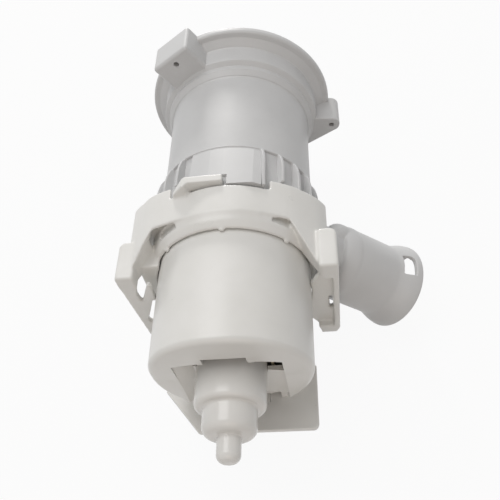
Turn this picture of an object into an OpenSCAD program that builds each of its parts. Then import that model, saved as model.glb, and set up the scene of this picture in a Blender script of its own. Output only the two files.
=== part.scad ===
// Washing machine drain pump: a flanged inlet tube that ends in a volute, with a canned-rotor motor
// locked behind it by a bracket ring that has two side legs. Millimetres.
// The pump axis lies along Y: the inlet mouth faces +Y at Y = 0, the motor nose points to -Y, +Z is up.

/* [Inlet tube] */
// Outer diameter of the inlet tube
tube_d = 65.4; // [63:0.2:66]
// Wall of the inlet tube
tube_wall = 2.6; // [2:0.1:3.4]
// Depth of the pump chamber's front wall behind the mouth face
tube_len = 79; // [74:1:90]
// Outer diameter of the rim around the mouth
rim_d = 87.2; // [84:0.2:88]
// Thickness of the rim
rim_t = 4.4; // [3:0.2:6]
// Outer diameter of the collar behind the rim
collar_d = 74.6; // [73:0.2:76]
// Length of the collar from the mouth face
collar_len = 15.6; // [12:0.2:18]
// Outer diameter of the step between the collar and the tube
step_d = 70; // [68:0.2:72]
// Length of the step
step_len = 2.1; // [1:0.1:4]

/* [Screw bosses] */
// Radius of the circle on which both screw holes lie
boss_circle_r = 45; // [44.4:0.1:46]
// Diameter of the screw pilot holes
pilot_d = 2.4; // [1.8:0.1:3]
// Length of both bosses from the mouth face
boss_len = 16; // [12:0.5:20]
// Angle of the block boss, from the outlet side towards the top
block_angle = 122; // [110:1:135]
// Width of the block boss
block_w = 19.7; // [14:0.1:24]
// Material between a pilot hole and the outside of its boss
boss_margin = 3.5; // [2.5:0.1:4.5]
// Angle of the ear boss, from the outlet side towards the top
ear_angle = -8.7; // [-20:0.1:5]

/* [Rib crown] */
// Depth at which the ribs start behind the mouth face
crown_start = 66; // [60:0.5:70]
// Outer diameter of the rib crown
crown_d = 73; // [70:0.5:75]
// Number of ribs around the tube
rib_n = 28; // [20:1:32]
// Thickness of a rib
rib_t = 1.5; // [1:0.1:2]
// Width of the flat panel on top of the crown
panel_w = 26; // [18:0.5:30]

/* [Pump chamber] */
// Wall between the pump chamber and the volute's outside
chamber_wall = 4.9; // [4.2:0.1:6]
// Length of the pump chamber
chamber_len = 22.4; // [21.5:0.1:26]
// Length by which the volute stands out past the motor cup
volute_over = 2.4; // [2.2:0.1:2.7]
// Diameter of the suction eye
eye_d = 34; // [28:0.5:40]
// Thickness of the wall around the suction eye
eye_t = 2.2; // [1.6:0.1:3]

/* [Outlet] */
// Downward slope of the outlet pipe
outlet_angle = 41; // [36:0.5:46]
// Distance of the outlet's axis from the pump axis
outlet_offset = 14.4; // [12.6:0.1:16]
// Length of the outlet from its nearest point to the pump axis
outlet_reach = 77; // [70:0.5:84]
// Outer diameter of the outlet's neck
neck_d = 32.4; // [31.4:0.1:33]
// Outer diameter of the outlet's bell
bell_d = 38.2; // [36:0.2:42]
// Length of the straight part of the bell
bell_len = 5; // [4:0.2:8]
// Bore of the outlet at the chamber
throat_d = 20; // [16:0.5:21]
// Bore of the outlet's neck
outlet_bore_d = 26.8; // [24:0.2:27.6]
// Wall of the bell
bell_wall = 2.4; // [1.8:0.1:3]
// Width of the retaining window in the bell, along the pipe
window_w = 6.4; // [4:0.1:7]

/* [Bracket] */
// Length by which the bracket's band stands out past the motor cup
band_over = 4.4; // [4.2:0.1:5]
// Thickness of the band, its arch and its legs
band_t = 2.4; // [2:0.1:3]
// Length of the band at the top
band_len = 12.6; // [10:0.1:13.5]
// Length by which the right shoulder stands out behind the notch
shoulder_len = 4.8; // [4:0.1:5.2]
// Length by which the left shoulder stands out behind the notch
shoulder_left = 5.4; // [4.4:0.1:6]
// Slope of the right shoulder
shoulder_angle = 26; // [24:0.5:28]
// Slope of the left shoulder
left_angle = 19; // [18:0.5:21]
// Length by which the arch's side walls stand out past the motor cup
side_over = 8; // [7.4:0.1:9]
// Length by which the outer faces of the legs stand out past the motor cup
leg_over = 11.3; // [10.5:0.1:13]
// Distance from the band's front edge to the legs' front faces
leg_ahead = 18.4; // [16.5:0.1:21]
// Height of the pads above the pump axis
pad_z = 21; // [19.5:0.1:22]
// Length of a pad
pad_len = 18; // [14:0.2:20]
// Width of a pad
pad_w = 7.4; // [6:0.1:8]
// Length by which the bracket's left side is wider than its right side
left_out = 1.2; // [0:0.1:2]
// Depth of the legs' lower ends below the pump axis
leg_z = 28.6; // [26:0.2:34]

/* [Motor] */
// Outer diameter of the motor cup
cup_d = 62; // [61.4:0.1:62.4]
// Wall of the motor cup
cup_wall = 2; // [1.6:0.1:2.4]
// Length of the motor cup
cup_len = 47.4; // [45:0.2:52]
// Radius of the rounding at the cup's end
cup_round = 4.5; // [3:0.1:5]
// Width of the window in the cup's end wall
end_window_w = 40; // [34:0.5:42]
// Height of that window's top edge above the pump axis
end_window_z = 10; // [9:0.1:11.5]
// Distance of the base plate's right edge from the middle
base_right = 30.4; // [28:0.1:32]
// Distance of the base plate's left edge from the middle
base_left = 33; // [31:0.1:35]
// Length by which the base plate stands out past the cup
base_out = 9.6; // [6:0.1:12]
// Thickness of the base plate
base_t = 2.4; // [2:0.1:3]

/* [Rotor can] */
// Outer diameter of the rotor can
can_d = 26.52; // [26:0.02:27]
// Wall of the rotor can
can_wall = 1.4; // [1:0.1:1.6]
// Thickness of the can's front plate
plate_t = 2; // [1.6:0.1:2.4]
// Length by which the can stands out past the cup
can_out = 13.6; // [11:0.1:16]
// Diameter of the can's second step
nose_d = 20; // [19:0.1:22]
// Length of the second step
nose_len = 10; // [8:0.1:13]
// Diameter of the pin on the can's nose
pin_d = 8.9; // [7:0.1:10]
// Length of that pin
pin_len = 9.2; // [6:0.1:12]

/* [Rotor] */
// Diameter of the rotor shaft
shaft_d = 4; // [3.4:0.1:4.4]
// Length of the rotor magnet
magnet_len = 42; // [36:0.5:45]
// Outer diameter of the bearing bushes
bush_d = 10; // [9:0.1:10.6]
// Diameter of the impeller
impeller_d = 46; // [40:0.5:50]
// Number of impeller blades
blade_n = 6; // [4:1:8]
// Thickness of an impeller blade
blade_t = 1.8; // [1.4:0.1:2.4]
// Outer diameter of the impeller's hub
hub_d = 18; // [17:0.1:20]

/* [Stator] */
// Length of the lamination stack
stack_len = 28; // [24:0.5:30]
// Width of a stator pole
pole_w = 12; // [10:0.2:13]
// Depth of the winding on a coil
coil_t = 4.6; // [3:0.1:5]

/* [Clearances] */
// Gap at the seats of fixed pieces
seat_gap = 0.15; // [0.1:0.01:0.25]
// Radial gap between the shaft and its bearings
run_gap = 0.03; // [0.02:0.01:0.06]
// Gap around moving pieces
free_gap = 0.6; // [0.4:0.05:0.8]

/* [Hidden] */
$fn = 96;

// Colours of the mouldings, metals and rubber
housing_grey = "#D6D7D9";
ivory = "#E4E2DA";
steel = "#B9BCC0";
rubber = "#2B2B2C";
lamination = "#4A4A46";
copper = "#8A4B22";
brass = "#C9A84B";
ferrite = "#3A3B3E";

over = 1;
cup_r = cup_d / 2;
tube_r = tube_d / 2;
bore_r = tube_r - tube_wall;
rim_r = rim_d / 2;
collar_r = collar_d / 2;
step_r = step_d / 2;
step_chamfer = 1.3;
step_start = collar_len + step_chamfer;
step_end = step_start + step_len;
tube_fillet = 3.4;

// Depths along the pump axis, from the mouth face towards the motor nose
chamber_start = tube_len + eye_t;
joint = chamber_start + chamber_len;
outlet_depth = chamber_start + chamber_len / 2;
plate_end = joint + plate_t;
cup_end = plate_end + cup_len;
can_end = cup_end + can_out;
nose_end = can_end + nose_len;
pin_end = nose_end + pin_len;

// Bracket, set out from the motor cup
band_r = cup_r + band_over;
side_x = cup_r + side_over;
leg_x = cup_r + leg_over;
band_front_set = 1.2;
band_front = joint - band_front_set;
notch_edge = band_front - band_len;
shoulder_edge = notch_edge - shoulder_len;
left_edge = notch_edge - shoulder_left;
leg_front = band_front + leg_ahead;
leg_back = leg_front - band_t;
lip_start = plate_end + seat_gap;
lip_len = 2.95;
lip_end = lip_start + lip_len;
lip_gap = 1;
pad_start = leg_front - pad_len;
pad_drop = 8;
pad_round = 2.6;
slant_x = leg_x - pad_w + 1.2;
slant_left = side_x + left_out - 0.6;
skirt_set = 1.9;
skirt_drop = 11;
side_low = pad_z - pad_drop - 1;
kink_right = cup_r - 6;
kink_left = cup_r - 2.3;
notch_right = band_r / 2;
notch_left = 0.62 * band_r;
finger_out = 4.4;
finger_tip = notch_edge - finger_out;
ring_r = band_r - 0.5;
web_x = cup_r - 0.5;
foot_w = 8.8;
foot_cut = 3;
foot_step = 1.6;
foot_flare = 3;
foot_rise = 11.6;
toe_h = 5.2;
leg_recess = 3.2;
leg_taper = 0.8;
left_taper = 3.4;
rail_len = 10;
slot_w = 1.4;
slot_len = 9;
slot_set = 4.5;
slot_top = 5.2;

// Volute and outlet
volute_r = cup_r + volute_over;
chamber_r = volute_r - chamber_wall;
crown_end = notch_edge - free_gap;
neck_r = neck_d / 2;
bell_r = bell_d / 2;
outlet_root = 16;
throat_wall = 2.8;
neck_turn = 6;
flare_len = 9;
bell_start = outlet_reach - bell_len;
flare_start = bell_start - flare_len;
bell_edge = 1;
throat_end = 35;
throat_taper = 5;
window_set = 3.4;
window_arc = 27;
window_mid = 92;

// O-ring and its groove in the housing's rear face
ring_t = 1.8;
ring_mid_r = (chamber_r + volute_r) / 2;

// Can, carrier and bearings
can_r = can_d / 2;
can_bore_r = can_r - can_wall;
sleeve_wall = 2;
carrier_step = 2.6;
carrier_r = can_bore_r + carrier_step;
sleeve_r = carrier_r + seat_gap + sleeve_wall;
sleeve_len = 4.4;
carrier_front = joint - sleeve_len;
carrier_seat = joint + plate_t / 2;
bush_r = bush_d / 2;
shaft_r = shaft_d / 2;
bush_len = 6.4;
seal_len = 2.6;
seal_r = bush_r + 1.2;
bush_start = carrier_front + seal_len + 0.8;
bush_end = bush_start + bush_len;
tail_wall = 2;
carrier_tail_r = bush_r + tail_wall;
washer_t = 1;
washer_r = bush_r - 0.4;
magnet_start = bush_end + washer_t + free_gap;
magnet_end = magnet_start + magnet_len;
magnet_r = can_bore_r - free_gap;
cushion_wall = 1.6;
cushion_r = bush_r + cushion_wall;
rear_in = 1.6;
rear_seat = can_end - rear_in;
rear_end = rear_seat + bush_len;
shaft_end = rear_end - 0.6;
cavity_end = rear_end + 0.6;

// Impeller and its lost-motion drive
impeller_r = impeller_d / 2;
hub_r = hub_d / 2;
hub_wall = 1.8;
impeller_gap = 2.4;
impeller_front = chamber_start + impeller_gap;
disc_t = 1.6;
disc_r = impeller_r * 0.72;
blade_set = 1;
blade_root = hub_r - hub_wall / 2;
impeller_back = carrier_front - 1.2;
cap_t = 1.4;
hub_cavity_r = hub_r - hub_wall;
hub_nose = 3;
hub_cavity_start = impeller_front + hub_nose;
hub_cavity_end = impeller_back - cap_t;
dog_wall = 1.6;
dog_hub_r = shaft_r + dog_wall;
dog_tip_r = hub_cavity_r - 0.5;
dog_arc = 48;
buffer_arc = 6;
stop_arc = 60;
stop_gap = 0.35;
shaft_start = impeller_front + 0.4;

// Stator, centred in the space between the can's plate and the cup's end wall
cup_bore_r = cup_r - cup_wall;
core_r = cup_bore_r - seat_gap;
core_ring = 3.6;
stack_mid = (plate_end + cup_end - cup_wall) / 2;
stack_start = stack_mid - stack_len / 2;
stack_end = stack_mid + stack_len / 2;
former_wall = 1;
former_gap = 1.4;
former_in = can_r + former_gap;
cheek_t = 1;
cheek_h = pole_w / 2 + seat_gap + former_wall + coil_t;
cheek_r = core_r - core_ring - 0.6;
former_out = sqrt(cheek_r * cheek_r - cheek_h * cheek_h);

// Base plate under the cup, with the terminal block in it
base_top = cup_r - 0.6;
base_low = base_top + base_t;
base_under = 18;
saddle_x = 17;
saddle_t = 2.4;
saddle_top = sqrt(cup_r * cup_r - saddle_x * saddle_x) - 0.6;
base_front = cup_end - base_under;
base_end = cup_end + base_out;
base_cut_x = 15;
base_cut_len = 18.4;
base_round = 2.4;
block_l = 22;
block_d = 13;
block_h = 9;
block_wall = 1.6;
floor_t = 2;
block_mid = (base_front + cup_end) / 2;
blade_w = 6.3;
terminal_t = 0.8;
terminal_gap = 11;

// Points of an arc, for profiles
function arc(c, r, a0, a1, n = 8) =
    [for (i = [0:n]) c + r * [cos(a0 + (a1 - a0) * i / n), sin(a0 + (a1 - a0) * i / n)]];

// Points of an S curve from one radius to another, for the outlet's flare
function s_curve(r0, z0, r1, z1, n = 10) =
    [for (i = [0:n]) [r0 + (r1 - r0) * (1 - cos(180 * i / n)) / 2, z0 + (z1 - z0) * i / n]];

// Turns depth along local Z into the pump's own axis: local X stays, local Y becomes up
module axial() {
    rotate([90, 0, 0])
        children();
}

// A tube piece between two depths
module sleeve(r_out, r_in, start, end) {
    translate([0, 0, start])
        difference() {
            cylinder(r = r_out, h = end - start);
            translate([0, 0, -over])
                cylinder(r = r_in, h = end - start + 2 * over);
        }
}

// A solid disc between two depths
module disc(r, start, end) {
    translate([0, 0, start])
        cylinder(r = r, h = end - start);
}

// A vertical prism whose outline is drawn in plan, as width and depth
module plan_prism(low, high) {
    translate([0, high, 0])
        rotate([90, 0, 0])
            linear_extrude(high - low)
                children();
}

// A sector of a ring between two depths, centred on an angle
module sector(r_out, r_in, start, end, mid, width) {
    rotate([0, 0, mid - width / 2])
        translate([0, 0, start])
            rotate_extrude(angle = width)
                translate([r_in, 0])
                    square([r_out - r_in, end - start]);
}

// Puts children on the outlet's axis, with local Z running out of the pipe
module on_outlet() {
    translate([outlet_offset * sin(outlet_angle), outlet_offset * cos(outlet_angle), outlet_depth])
        rotate([0, 0, -outlet_angle])
            rotate([0, 90, 0])
                children();
}

// Outside of the outlet: a throat tube, a rounded shoulder, a straight neck and a flared bell
module outlet_outside() {
    throat_out = throat_d / 2 + throat_wall;
    steps = 8;
    rotate_extrude()
        polygon(concat(
            [[0, outlet_root], [throat_out, outlet_root]],
            [for (i = [0:steps])
                [throat_out + (neck_r - throat_out) * sin(90 * i / steps),
                 throat_end + neck_turn * (1 - cos(90 * i / steps))]],
            s_curve(neck_r, flare_start, bell_r, bell_start),
            arc([bell_r - bell_edge, outlet_reach - bell_edge], bell_edge, 0, 90, 4),
            [[0, outlet_reach]]));
}

// Bore of the outlet: a narrow throat at the chamber, the neck, and the wide bell
module outlet_inside() {
    rotate_extrude()
        polygon(concat(
            [[0, 0], [throat_d / 2, 0], [throat_d / 2, throat_end]],
            [[outlet_bore_d / 2, throat_end + throat_taper]],
            s_curve(outlet_bore_d / 2, flare_start, bell_r - bell_wall, bell_start),
            [[bell_r - bell_wall, outlet_reach + over], [0, outlet_reach + over]]));
}

// Retaining window in the bell's upper side
module bell_window() {
    sector(bell_r + over, outlet_bore_d / 2 - over, outlet_reach - window_set - window_w,
        outlet_reach - window_set, window_mid, window_arc);
}

// Outside of the round part of the housing, without bosses, ribs and outlet
module housing_body() {
    rotate_extrude()
        polygon(concat(
            [[0, 0]],
            arc([rim_r - 1, 1], 1, -90, 0, 4),
            arc([rim_r - 1, rim_t - 1], 1, 0, 90, 4),
            [[collar_r, rim_t], [collar_r, collar_len], [step_r, step_start], [step_r, step_end],
             [tube_r, step_end + tube_fillet], [tube_r, tube_len], [volute_r, tube_len + 1],
             [volute_r, joint], [0, joint]]));
}

// Block boss at the upper left, flat outside
module block_boss() {
    reach = boss_circle_r + boss_margin;
    rotate([0, 0, block_angle])
        translate([tube_r, -block_w / 2, 0])
            cube([reach - tube_r, block_w, boss_len]);
}

// Ear boss at the right, with a web that runs down to the collar
module ear_boss() {
    ear_r = boss_margin + pilot_d / 2 - 0.6;
    web_r = collar_r - 0.8;
    rotate([0, 0, ear_angle]) {
        translate([boss_circle_r, 0, 0])
            cylinder(r = ear_r, h = boss_len, $fn = 48);
        linear_extrude(boss_len)
            polygon([
                [0, ear_r], [boss_circle_r, ear_r], [boss_circle_r + ear_r * sin(28), -ear_r * cos(28)],
                [web_r * cos(22), -web_r * sin(22)], [0, 0]
            ]);
    }
}

// One rib of the crown, standing on the tube
module rib() {
    root = tube_r - tube_wall / 4;
    rise = crown_d / 2 - root;
    slope = 12;
    steps = 8;
    rotate([90, 0, 0])
        translate([0, 0, -rib_t / 2])
            linear_extrude(rib_t)
                polygon(concat(
                    [[tube_r - tube_wall / 2, crown_start]],
                    [for (i = [0:steps])
                        [root + rise * sin(90 * i / steps),
                         crown_start + slope * (1 - cos(90 * i / steps))]],
                    [[crown_d / 2, crown_end], [tube_r - tube_wall / 2, crown_end]]));
}

// Ribs around the tube, with a flat panel between them on top
module rib_crown() {
    panel_z = crown_d / 2 - 1.4;
    for (i = [0:rib_n - 1])
        rotate([0, 0, 90 + 360 / rib_n * (i + 0.5)])
            rib();
    sleeve(tube_r + 0.7, bore_r + tube_wall / 2, crown_start, crown_start + 1.2);
    plan_prism(tube_r * 0.7, panel_z)
        translate([-panel_w / 2 - 1, crown_start])
            square([panel_w, crown_end - crown_start]);
}

// Room for the bracket's shoulders and catch finger, cut out of the rib crown
module bracket_room() {
    finger_end = 1.4;
    intersection() {
        sleeve(crown_d, tube_r - tube_wall / 2, crown_start, joint);
        plan_prism(-crown_d, crown_d) {
            translate([-crown_d, min(left_edge, finger_tip) - free_gap])
                square([crown_d + finger_end, joint - left_edge]);
            translate([notch_right - free_gap, shoulder_edge - free_gap])
                square([crown_d, joint - shoulder_edge]);
        }
        translate([-crown_d, 0, 0])
            cube([2 * crown_d, crown_d, joint]);
    }
    difference() {
        sleeve(crown_d, tube_r - tube_wall / 2, shoulder_edge - 2 * free_gap, joint);
        translate([-crown_d, 0, 0])
            cube([2 * crown_d, crown_d, joint]);
    }
}

// Inlet tube, volute and outlet, one grey moulding
module pump_housing() {
    color(housing_grey)
        axial()
            difference() {
                union() {
                    housing_body();
                    block_boss();
                    ear_boss();
                    difference() {
                        rib_crown();
                        bracket_room();
                    }
                    difference() {
                        on_outlet()
                            outlet_outside();
                        disc(band_r + seat_gap, joint, nose_end);
                    }
                }
                disc(bore_r, -over, tube_len);
                disc(eye_d / 2, 0, joint);
                disc(chamber_r, chamber_start, joint + over);
                sleeve(ring_mid_r + ring_t / 2, ring_mid_r - ring_t / 2, joint - ring_t, joint + over);
                on_outlet() {
                    outlet_inside();
                    bell_window();
                }
                for (a = [block_angle, ear_angle])
                    rotate([0, 0, a])
                        translate([boss_circle_r, 0, -over])
                            cylinder(d = pilot_d, h = boss_len + 2 * over, $fn = 32);
            }
}

// Rubber ring between the housing and the can's front plate
module can_o_ring() {
    color(rubber)
        axial()
            translate([0, 0, joint - ring_t / 2])
                rotate_extrude()
                    translate([ring_mid_r, 0])
                        circle(d = ring_t - 2 * run_gap, $fn = 32);
}

// Rotor can: front plate, thin tube through the stator, stepped nose with a pin
module rotor_can() {
    edge = 1.8;
    nose_edge = 3;
    pin_edge = 3;
    pin_r = pin_d / 2;
    nose_r = nose_d / 2;
    color(ivory)
        axial()
            difference() {
                rotate_extrude()
                    polygon(concat(
                        [[0, carrier_front], [sleeve_r, carrier_front], [sleeve_r, joint],
                         [volute_r - seat_gap, joint], [volute_r - seat_gap, plate_end],
                         [can_r, plate_end]],
                        arc([can_r - edge, can_end - edge], edge, 0, 90, 5),
                        [[nose_r, can_end]],
                        arc([nose_r - nose_edge, nose_end - nose_edge], nose_edge, 0, 90, 6),
                        [[pin_r, nose_end]],
                        arc([pin_r - pin_edge, pin_end - pin_edge], pin_edge, 0, 90, 6),
                        [[0, pin_end]]));
                disc(carrier_r + seat_gap, carrier_front - over, carrier_seat);
                disc(can_bore_r, 0, rear_seat - over);
                disc(cushion_r + seat_gap, 0, cavity_end);
            }
}

// Plug that carries the seal and the front bearing in the can's mouth
module bearing_carrier() {
    color(ivory)
        axial()
            difference() {
                union() {
                    disc(carrier_r, carrier_front, carrier_seat - run_gap);
                    disc(carrier_tail_r, carrier_front, bush_end);
                }
                disc(seal_r, carrier_front - over, carrier_front + seal_len);
                disc(seal_r - 1.4, carrier_front, bush_start);
                disc(bush_r, bush_start, bush_end + over);
            }
}

// Lip seal on the shaft, in front of the bearing
module lip_seal() {
    color(rubber)
        axial()
            sleeve(seal_r - run_gap, shaft_r + run_gap, carrier_front, carrier_front + seal_len - run_gap);
}

// A bearing bush that starts at a given depth
module bush(start) {
    color("#6B6A62")
        axial()
            sleeve(bush_r - run_gap, shaft_r + run_gap, start, start + bush_len);
}

module front_bearing() {
    bush(bush_start);
}

module rear_bearing() {
    bush(rear_seat);
}

// Rubber sleeve that holds the rear bearing in the can's nose
module bearing_cushion() {
    color(rubber)
        axial()
            sleeve(cushion_r, bush_r, rear_seat, rear_end);
}

// Steel shaft from the impeller to the can's nose
module rotor_shaft() {
    color(steel)
        axial()
            disc(shaft_r, shaft_start, shaft_end);
}

// Ferrite magnet pressed on the shaft
module rotor_magnet() {
    color(ferrite)
        axial()
            sleeve(magnet_r, shaft_r, magnet_start, magnet_end);
}

// Washers on the shaft at both ends of the magnet
module thrust_washers() {
    color("#8C7B5A")
        axial() {
            sleeve(washer_r, shaft_r, magnet_start - washer_t, magnet_start);
            sleeve(washer_r, shaft_r, magnet_end, rear_seat - free_gap);
        }
}

// Dog on the shaft's front end that drives the impeller
module drive_dog() {
    color("#A7A79F")
        axial() {
            sleeve(dog_hub_r, shaft_r, hub_cavity_start + free_gap / 2, hub_cavity_end - free_gap / 2);
            sector(dog_tip_r, dog_hub_r - 0.4, hub_cavity_start + free_gap / 2,
                hub_cavity_end - free_gap / 2, 90, dog_arc);
        }
}

// Rubber pads on both flanks of the dog
module dog_buffers() {
    color(rubber)
        axial()
            for (side = [-1, 1])
                sector(dog_tip_r, dog_hub_r, hub_cavity_start + free_gap / 2,
                    hub_cavity_end - free_gap / 2, 90 + side * (dog_arc + buffer_arc) / 2, buffer_arc);
}

// Impeller: a hub with a stop inside, a rear disc and straight blades
module impeller() {
    disc_front = impeller_back - disc_t;
    color("#C9C8C2")
        axial()
            difference() {
                union() {
                    disc(hub_r, impeller_front, impeller_back);
                    disc(disc_r, disc_front, impeller_back);
                    for (i = [0:blade_n - 1])
                        rotate([0, 0, 360 / blade_n * i])
                            translate([blade_root, -blade_t / 2, impeller_front + blade_set])
                                cube([impeller_r - blade_root, blade_t,
                                    impeller_back - impeller_front - blade_set]);
                }
                disc(shaft_r + run_gap, 0, joint);
                difference() {
                    disc(hub_cavity_r, hub_cavity_start, impeller_back + over);
                    sector(hub_r, dog_hub_r + stop_gap, hub_cavity_start - over, hub_cavity_end,
                        -90, stop_arc);
                }
            }
}

// Cap that closes the impeller's hub behind the dog
module hub_cap() {
    color("#C9C8C2")
        axial()
            sleeve(hub_cavity_r - run_gap, shaft_r + run_gap, hub_cavity_end, impeller_back);
}

// Lamination stack: a ring with one pole at each side of the can
module stator_core() {
    color(lamination)
        axial()
            difference() {
                union() {
                    sleeve(core_r, core_r - core_ring, stack_start, stack_end);
                    intersection() {
                        disc(core_r - core_ring / 2, stack_start, stack_end);
                        translate([-core_r, -pole_w / 2, stack_start])
                            cube([2 * core_r, pole_w, stack_len]);
                    }
                }
                disc(can_r + seat_gap, 0, pin_end);
            }
}

// Rectangular block around a pole, from one distance to another
module pole_block(from, to, grow) {
    translate([from, -pole_w / 2 - grow, stack_start - grow])
        cube([to - from, pole_w + 2 * grow, stack_len + 2 * grow]);
}

// Coil former on the right pole: a thin tube with a cheek at each end
module coil_former() {
    difference() {
        union() {
            pole_block(former_in, former_out, seat_gap + former_wall);
            pole_block(former_in, former_in + cheek_t, seat_gap + former_wall + coil_t);
            pole_block(former_out - cheek_t, former_out, seat_gap + former_wall + coil_t);
        }
        pole_block(former_in - over, former_out + over, seat_gap);
    }
}

// Winding on the right pole, between the cheeks of its former
module coil() {
    difference() {
        pole_block(former_in + cheek_t, former_out - cheek_t, seat_gap + former_wall + coil_t - 0.4);
        pole_block(former_in, former_out, seat_gap + former_wall);
    }
}

module coil_former_left() {
    color("#D8D2BE")
        axial()
            mirror([1, 0, 0])
                coil_former();
}

module coil_former_right() {
    color("#D8D2BE")
        axial()
            coil_former();
}

module coil_left() {
    color(copper)
        axial()
            mirror([1, 0, 0])
                coil();
}

module coil_right() {
    color(copper)
        axial()
            coil();
}

// Base plate under the cup, in plan: one slanted corner and one rounded corner
module base_plan() {
    polygon(concat(
        [[-base_left, base_front], [-base_left, base_end - base_cut_len],
         [-base_left + base_cut_x, base_end]],
        arc([base_right - base_round, base_end - base_round], base_round, 90, 0, 5),
        [[base_right, base_front]]));
}

// Motor cup: a round shell with a window in its end wall and a base plate below
module motor_cup() {
    tooth_w = 2;
    tooth_z = 1.4;
    notch_w = 16;
    color(ivory)
        axial()
            difference() {
                union() {
                    difference() {
                        rotate_extrude()
                            polygon(concat(
                                [[0, plate_end], [cup_r, plate_end]],
                                arc([cup_r - cup_round, cup_end - cup_round], cup_round, 0, 90),
                                [[0, cup_end]]));
                        translate([-end_window_w / 2, -cup_d, cup_end - cup_round - over])
                            cube([end_window_w, cup_d + end_window_z, cup_round + 2 * over]);
                        translate([-notch_w / 2, -cup_d, cup_end - cup_round - over])
                            cube([notch_w, cup_d + can_r + free_gap, cup_round + 2 * over]);
                    }
                    plan_prism(-base_low, -base_top)
                        base_plan();
                    for (side = [-1, 1])
                        plan_prism(-base_low, -saddle_top)
                            translate([side * saddle_x - saddle_t / 2, base_front])
                                square([saddle_t, base_under - cup_round]);
                    for (side = [-1, 1])
                        translate([side * (notch_w + tooth_w) / 2 - tooth_w / 2, end_window_z - tooth_z,
                                cup_end - cup_wall])
                            cube([tooth_w, tooth_z + over, cup_wall]);
                }
                rotate_extrude()
                    polygon([[0, plate_end - over], [cup_bore_r, plate_end - over],
                        [cup_bore_r, cup_end - cup_round], [cup_bore_r - cup_round / 2, cup_end - cup_wall],
                        [0, cup_end - cup_wall]]);
                disc(can_r + seat_gap, joint, pin_end);
                plan_prism(-base_low - over, -base_top + cup_wall)
                    translate([-block_l / 2 - seat_gap, block_mid - block_d / 2 - seat_gap])
                        square([block_l + 2 * seat_gap, block_d + 2 * seat_gap]);
            }
}

// Socket under the base plate that holds the two terminals
module terminal_block() {
    color(ivory)
        axial()
            difference() {
                plan_prism(-base_low - block_h, -base_top)
                    translate([-block_l / 2, block_mid - block_d / 2])
                        square([block_l, block_d]);
                plan_prism(-base_low - block_h - over, -base_top - floor_t)
                    translate([-block_l / 2 + block_wall, block_mid - block_d / 2 + block_wall])
                        square([block_l - 2 * block_wall, block_d - 2 * block_wall]);
            }
}

// Two brass tabs that stand in the socket
module terminal_blades() {
    color(brass)
        axial()
            for (side = [-1, 1])
                plan_prism(-base_low - block_h + 1, -base_top - floor_t)
                    translate([side * terminal_gap / 2 - terminal_t / 2, block_mid - blade_w / 2])
                        square([terminal_t, blade_w]);
}

// Half of the arch's outline: the crown, a straight shoulder up to its knee and a rounded corner, whose
// points are given from the pad's height at the side wall, all drawn in by an inset
function half_arch(side, angle, knee, corner, inset) =
    let (outer = concat(
        arc([0, 0], band_r, 90, 90 - angle, 12),
        [[knee, (band_r - knee * sin(angle)) / cos(angle)]],
        [for (c = corner) [side, pad_z] + c],
        [[side, side_low]]))
    [for (p = outer) p * (1 - inset / norm(p))];

// Outline of the bracket's arch, drawn in by an inset
module arch_2d(inset) {
    right_corner = [[-4.4, -1.7], [-0.7, -6.8]];
    left_corner = [[-4.2, 1], [-1.2, -1.7], [0, -3.7]];
    right = half_arch(side_x, shoulder_angle, kink_right + 1, right_corner, inset);
    left = half_arch(side_x + left_out, left_angle, kink_left, left_corner, inset);
    polygon(concat(right, [for (i = [len(left) - 1:-1:1]) [-left[i][0], left[i][1]]]));
}

// Arch of the bracket, with a notch behind and slanted front edges
module arch() {
    intersection() {
        translate([0, 0, left_edge])
            linear_extrude(leg_front - left_edge)
                difference() {
                    arch_2d(0);
                    arch_2d(band_t);
                }
        plan_prism(0, band_r + over)
            polygon([
                [-side_x - left_out - over, left_edge], [-notch_left, left_edge], [-notch_left, notch_edge],
                [notch_right, notch_edge], [notch_right, shoulder_edge], [side_x + over, shoulder_edge],
                [side_x + over, leg_front], [slant_x, leg_front], [kink_right, band_front],
                [-kink_left, band_front], [-slant_left, leg_front],
                [-side_x - left_out - over, leg_front]
            ]);
    }
}

// Skirt under the slanted front edge of the arch, on one side, from the kink up to a given distance
module skirt(side, kink, end_x) {
    inset = 0.4;
    start_x = kink + skirt_set;
    start_depth = band_front + leg_ahead * skirt_set / (end_x - kink);
    intersection() {
        translate([0, 0, band_front])
            linear_extrude(leg_front - band_front)
                arch_2d(inset);
        plan_prism(pad_z - skirt_drop, band_r)
            polygon([for (p = [
                [start_x, start_depth - band_t], [start_x, start_depth - inset],
                [end_x, leg_front - inset], [end_x, leg_front - inset - band_t]
            ]) [side * p[0], p[1]]]);
    }
}

// Ring that clamps the can's plate and the cup to the housing
module clamp_ring() {
    cone_in = 0.65;
    lip_t = 0.7;
    rotate_extrude()
        polygon([
            [volute_r + seat_gap, notch_edge], [ring_r, notch_edge], [ring_r, band_front],
            [ring_r - cone_in, lip_start], [cup_r + lip_gap + lip_t, lip_end], [cup_r + lip_gap, lip_end],
            [cup_r + lip_gap, lip_start],
            [volute_r + seat_gap, lip_start]
        ]);
}

// Small ribs in the ring's mouth that centre the cup
module centring_ribs() {
    lip_set = 0.3;
    rib_w = 1.8;
    for (a = [43, 90, 137])
        rotate([0, 0, a])
            translate([cup_r + run_gap, -rib_w / 2, lip_start + lip_set])
                cube([lip_gap + lip_set, rib_w, lip_len]);
}

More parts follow.
